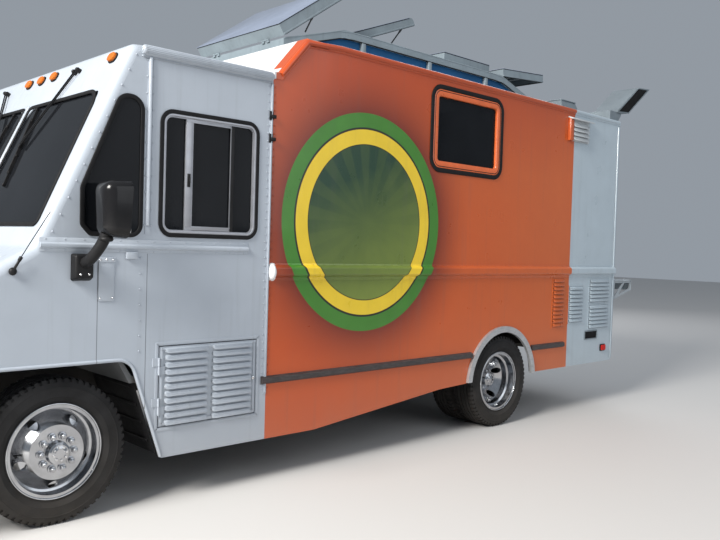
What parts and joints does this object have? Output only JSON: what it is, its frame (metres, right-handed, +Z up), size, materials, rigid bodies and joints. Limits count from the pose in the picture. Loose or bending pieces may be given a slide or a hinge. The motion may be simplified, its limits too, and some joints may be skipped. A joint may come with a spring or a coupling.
{
  "type": "food truck",
  "caption": "Step-van food truck with a riveted cab, tall kitchen body, raised roof box with hinged lids, louvred doors and dual rear wheels.",
  "frame": {"origin": "on the ground in the middle plane, midway between the front bumper's face and the back of the roof duct: the middle of the box's underside", "axes": "+X forward, +Y to the driver's side on the left, +Z up; the wheels stand on z = 0"},
  "size_m": [7.492, 2.98, 3.6423],
  "materials": {
    "cab_paint": "gloss",
    "kitchen_paint": "gloss",
    "roof_paint": "satin",
    "lid_paint": "satin",
    "moulding_paint": "gloss",
    "vent_paint": "satin",
    "chassis_black": "satin",
    "bumper_paint": "satin",
    "wheel_paint": "satin",
    "tyre": "matte",
    "engine": "rough",
    "exhaust_steel": "satin",
    "tank_steel": "satin",
    "floor_plate": "satin",
    "interior_grey": "satin",
    "frame_aluminium": "satin",
    "bright_trim": "polished",
    "glass": "clear",
    "blue_glazing": "gloss",
    "lamp_glass": "clear",
    "amber_lens": "gloss",
    "grille_paint": "satin",
    "mirror_black": "gloss",
    "wiper_black": "satin",
    "dash_plastic": "matte",
    "seat_vinyl": "satin",
    "stay_steel": "satin",
    "shelf_paint": "satin"
  },
  "bodies": {
    "truck": {"chassis_frame": "chassis_black", "engine_block": "engine", "leaf_springs": "chassis_black", "front_axle": "chassis_black", "rear_axle": "chassis_black", "fuel_tank": "tank_steel", "exhaust": "exhaust_steel", "floor": "floor_plate", "toe_board": "interior_grey", "engine_cover": "interior_grey", "front_clip": "cab_paint", "grille": "grille_paint", "front_bumper": "bumper_paint", "cab_side_left": "cab_paint", "cab_side_right": "cab_paint", "cab_roof": "roof_paint", "kitchen_side_left": "kitchen_paint", "kitchen_side_right": "kitchen_paint", "kitchen_roof": "roof_paint", "rear_wall": "kitchen_paint", "clerestory": "lid_paint", "clerestory_glazing": "blue_glazing", "rear_vent": "vent_paint", "roof_vent": "vent_paint", "window_frames": "frame_aluminium", "window_glass": "glass", "body_mouldings": "moulding_paint", "rub_rails": "bright_trim", "mirrors": "mirror_black", "wipers": "wiper_black", "headlamps": "lamp_glass", "marker_lamps": "amber_lens", "rear_bumper": "bumper_paint", "rear_shelf": "shelf_paint", "dashboard": "dash_plastic", "seat": "seat_vinyl"},
    "knuckle_left": {"steering_knuckle_left": "chassis_black"},
    "knuckle_right": {"steering_knuckle_right": "chassis_black"},
    "front_wheel_left": {"front_wheel_left": "wheel_paint", "front_tyre_left": "tyre"},
    "front_wheel_right": {"front_wheel_right": "wheel_paint", "front_tyre_right": "tyre"},
    "rear_wheels_left": {"rear_wheels_left": "wheel_paint", "rear_tyres_left": "tyre"},
    "rear_wheels_right": {"rear_wheels_right": "wheel_paint", "rear_tyres_right": "tyre"},
    "hood": {"hood": "cab_paint"},
    "roof_lid_front": {"roof_lid_front": "lid_paint"},
    "roof_lid_middle": {"roof_lid_middle": "lid_paint"},
    "roof_lid_centre": {"roof_lid_centre": "lid_paint"},
    "roof_lid_rear": {"roof_lid_rear": "lid_paint"},
    "lid_stay_front": {"lid_stay_front": "stay_steel"},
    "lid_stay_middle": {"lid_stay_middle": "stay_steel"},
    "entry_door": {"entry_door": "cab_paint", "entry_door_glass": "glass"},
    "access_door": {"access_door": "cab_paint"},
    "rear_door": {"rear_door": "kitchen_paint"},
    "service_awning": {"service_awning": "kitchen_paint"},
    "steering_wheel": {"steering_wheel": "dash_plastic"}
  },
  "joints": [
    {"name": "steering_left", "type": "hinge", "parent": "truck", "child": "knuckle_left", "pos_m": [2.886, 0.9, 0.405], "axis": [0, 0, 1], "range_deg": [-32, 32]},
    {"name": "steering_right", "type": "hinge", "parent": "truck", "child": "knuckle_right", "pos_m": [2.886, -0.9, 0.405], "axis": [0, 0, 1], "range_deg": [-32, 32]},
    {"name": "front_wheel_left_spin", "type": "hinge", "parent": "knuckle_left", "child": "front_wheel_left", "pos_m": [2.886, 1.036, 0.405], "axis": [0, 1, 0], "continuous": true},
    {"name": "front_wheel_right_spin", "type": "hinge", "parent": "knuckle_right", "child": "front_wheel_right", "pos_m": [2.886, -1.036, 0.405], "axis": [0, 1, 0], "continuous": true},
    {"name": "rear_wheels_left_spin", "type": "hinge", "parent": "truck", "child": "rear_wheels_left", "pos_m": [-1.104, 0.949, 0.405], "axis": [0, 1, 0], "continuous": true},
    {"name": "rear_wheels_right_spin", "type": "hinge", "parent": "truck", "child": "rear_wheels_right", "pos_m": [-1.104, -0.949, 0.405], "axis": [0, 1, 0], "continuous": true},
    {"name": "steering_wheel_turn", "type": "hinge", "parent": "truck", "child": "steering_wheel", "pos_m": [2.426, 0.65, 1.37], "axis": [-0.6078, 0, 0.7941], "range_deg": [-512, 512]},
    {"name": "hood_hinge", "type": "hinge", "parent": "truck", "child": "hood", "pos_m": [3.129, 0, 1.48537], "axis": [0, -1, 0], "range_deg": [0, 55]},
    {"name": "roof_lid_front_hinge", "type": "hinge", "parent": "truck", "child": "roof_lid_front", "pos_m": [1.061, 0.145, 3.112], "axis": [0, 1, 0], "range_deg": [-17.1, 0]},
    {"name": "roof_lid_middle_hinge", "type": "hinge", "parent": "truck", "child": "roof_lid_middle", "pos_m": [0.129, 0, 3.293], "axis": [0, 1, 0], "range_deg": [-21.7, 0]},
    {"name": "roof_lid_centre_hinge", "type": "hinge", "parent": "truck", "child": "roof_lid_centre", "pos_m": [-0.862, 0, 3.292], "axis": [0, 1, 0], "range_deg": [0, 60]},
    {"name": "roof_lid_rear_hinge", "type": "hinge", "parent": "truck", "child": "roof_lid_rear", "pos_m": [-1.748, 0, 3.305], "axis": [0, 1, 0], "range_deg": [-25.5, 0]},
    {"name": "lid_stay_front_hinge", "type": "hinge", "parent": "roof_lid_front", "child": "lid_stay_front", "pos_m": [0.74481, 0.673, 3.35781], "axis": [0, 1, 0], "range_deg": [-27.02, 0]},
    {"name": "lid_stay_middle_hinge", "type": "hinge", "parent": "roof_lid_middle", "child": "lid_stay_middle", "pos_m": [-0.47979, 0.443, 3.54818], "axis": [0, 1, 0], "range_deg": [-28.99, 0]},
    {"name": "entry_door_hinge", "type": "hinge", "parent": "truck", "child": "entry_door", "pos_m": [2.276, -1.198, 1.4], "axis": [0, 0, 1], "range_deg": [0, 85]},
    {"name": "access_door_hinge", "type": "hinge", "parent": "truck", "child": "access_door", "pos_m": [2.306, 1.198, 0.707], "axis": [0, 0, -1], "range_deg": [0, 90]},
    {"name": "rear_door_hinge", "type": "hinge", "parent": "truck", "child": "rear_door", "pos_m": [-3.085, -0.95, 1.7], "axis": [0, 0, 1], "range_deg": [0, 100]},
    {"name": "service_awning_hinge", "type": "hinge", "parent": "truck", "child": "service_awning", "pos_m": [0.036, -1.198, 2.4], "axis": [-1, 0, 0], "range_deg": [0, 95]}
  ],
  "couplings": [
    {"joint": "steering_right", "follows": "steering_left", "ratio": 1},
    {"joint": "steering_wheel_turn", "follows": "steering_left", "ratio": 16},
    {"joint": "lid_stay_front_hinge", "follows": "roof_lid_front_hinge", "ratio": 1.58},
    {"joint": "lid_stay_middle_hinge", "follows": "roof_lid_middle_hinge", "ratio": 1.336}
  ]
}
